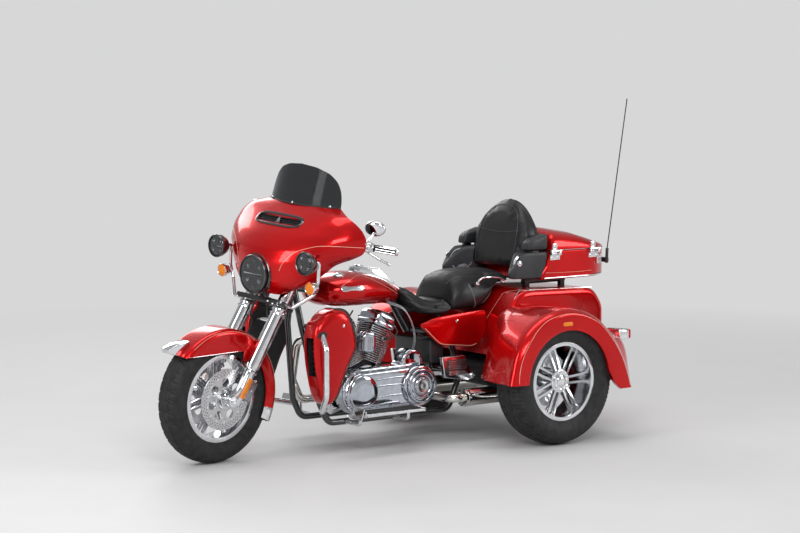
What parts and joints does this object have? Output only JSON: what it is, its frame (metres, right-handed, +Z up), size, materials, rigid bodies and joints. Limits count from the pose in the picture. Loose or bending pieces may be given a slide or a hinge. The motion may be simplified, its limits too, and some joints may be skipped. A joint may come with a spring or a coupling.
{
  "type": "touring trike",
  "caption": "Full-dress motor trike with a steered front fork and fairing, turning wheels, an opening rear trunk door, a hinged top-case lid and a fuel door.",
  "frame": {"origin": "on the ground under the middle of the trike's overall length and width", "axes": "+X forward, +Y towards the rider's left, +Z up"},
  "size_m": [2.7264, 1.39, 1.7235],
  "materials": {
    "frame_paint": "gloss",
    "case_metal": "satin",
    "chrome": "polished",
    "body_paint": "gloss",
    "leather": "satin",
    "black_plastic": "matte",
    "rubber": "matte",
    "red_lens": "gloss",
    "amber_lens": "gloss",
    "lamp_glass": "gloss",
    "smoked_screen": "gloss",
    "tyre": "matte",
    "wheel_metal": "polished",
    "disc_steel": "brushed"
  },
  "bodies": {
    "chassis": {"frame_tubes": "frame_paint", "rear_axle_housing": "frame_paint", "engine_case": "case_metal", "cylinders": "case_metal", "rocker_covers": "chrome", "primary_cover": "chrome", "derby_cover": "chrome", "gear_cover": "chrome", "air_cleaner": "chrome", "horn": "chrome", "mufflers": "chrome", "fuel_tank": "body_paint", "console": "chrome", "rider_seat": "leather", "passenger_seat": "leather", "backrest": "leather", "trunk": "body_paint", "tour_box": "body_paint", "tour_rack": "chrome", "antenna": "black_plastic", "side_covers": "body_paint", "lower_fairings": "body_paint", "engine_guard": "chrome", "floorboards": "rubber", "passenger_boards": "chrome", "tail_lamps": "red_lens", "side_markers": "amber_lens", "speaker_pods": "body_paint", "arm_pads": "leather", "rear_fender_left": "body_paint", "rear_fender_right": "body_paint"},
    "steering": {"fork_crowns": "frame_paint", "fork_legs": "chrome", "front_axle": "chrome", "front_fender": "body_paint", "fender_tip": "chrome", "fender_lamp": "chrome", "fork_reflectors": "amber_lens", "calipers": "case_metal", "fairing_outer": "body_paint", "fairing_inner": "black_plastic", "headlamp": "lamp_glass", "windscreen": "smoked_screen", "lamp_bar": "chrome", "passing_lamps": "chrome", "turn_signals": "chrome", "handlebar": "chrome", "grips": "rubber", "levers": "chrome", "mirrors": "chrome"},
    "front_wheel": {"front_tyre": "tyre", "front_rim": "wheel_metal", "front_discs": "disc_steel"},
    "rear_wheel_left": {"rear_tyre_left": "tyre", "rear_rim_left": "wheel_metal"},
    "rear_wheel_right": {"rear_tyre_right": "tyre", "rear_rim_right": "wheel_metal"},
    "trunk_door": {"trunk_door": "body_paint"},
    "tour_lid": {"tour_lid": "body_paint"},
    "fuel_door": {"fuel_door": "chrome"}
  },
  "joints": [
    {"name": "steering_turn", "type": "hinge", "parent": "chassis", "child": "steering", "pos_m": [0.71847, 0, 0.87], "axis": [-0.4384, 0, 0.8988], "range_deg": [-45, 25]},
    {"name": "front_wheel_spin", "type": "hinge", "parent": "steering", "child": "front_wheel", "pos_m": [1.04309, 0.00909, 0.32206], "axis": [-0.1561, 0.9848, -0.0761], "continuous": true},
    {"name": "rear_left_spin", "type": "hinge", "parent": "chassis", "child": "rear_wheel_left", "pos_m": [-0.6262, 0.566, 0.324], "axis": [0, 1, 0], "continuous": true},
    {"name": "rear_right_spin", "type": "hinge", "parent": "chassis", "child": "rear_wheel_right", "pos_m": [-0.6262, -0.566, 0.324], "axis": [0, 1, 0], "continuous": true},
    {"name": "trunk_door_drop", "type": "hinge", "parent": "chassis", "child": "trunk_door", "pos_m": [-1.1392, 0, 0.441], "axis": [0, -1, 0], "range_deg": [0, 80]},
    {"name": "top_lid_lift", "type": "hinge", "parent": "chassis", "child": "tour_lid", "pos_m": [-0.9872, 0.312, 0.946], "axis": [-1, 0, 0], "range_deg": [0, 50]},
    {"name": "fuel_door_lift", "type": "hinge", "parent": "chassis", "child": "fuel_door", "pos_m": [0.0798, 0, 0.885], "axis": [0, -1, 0], "range_deg": [0, 80]}
  ]
}
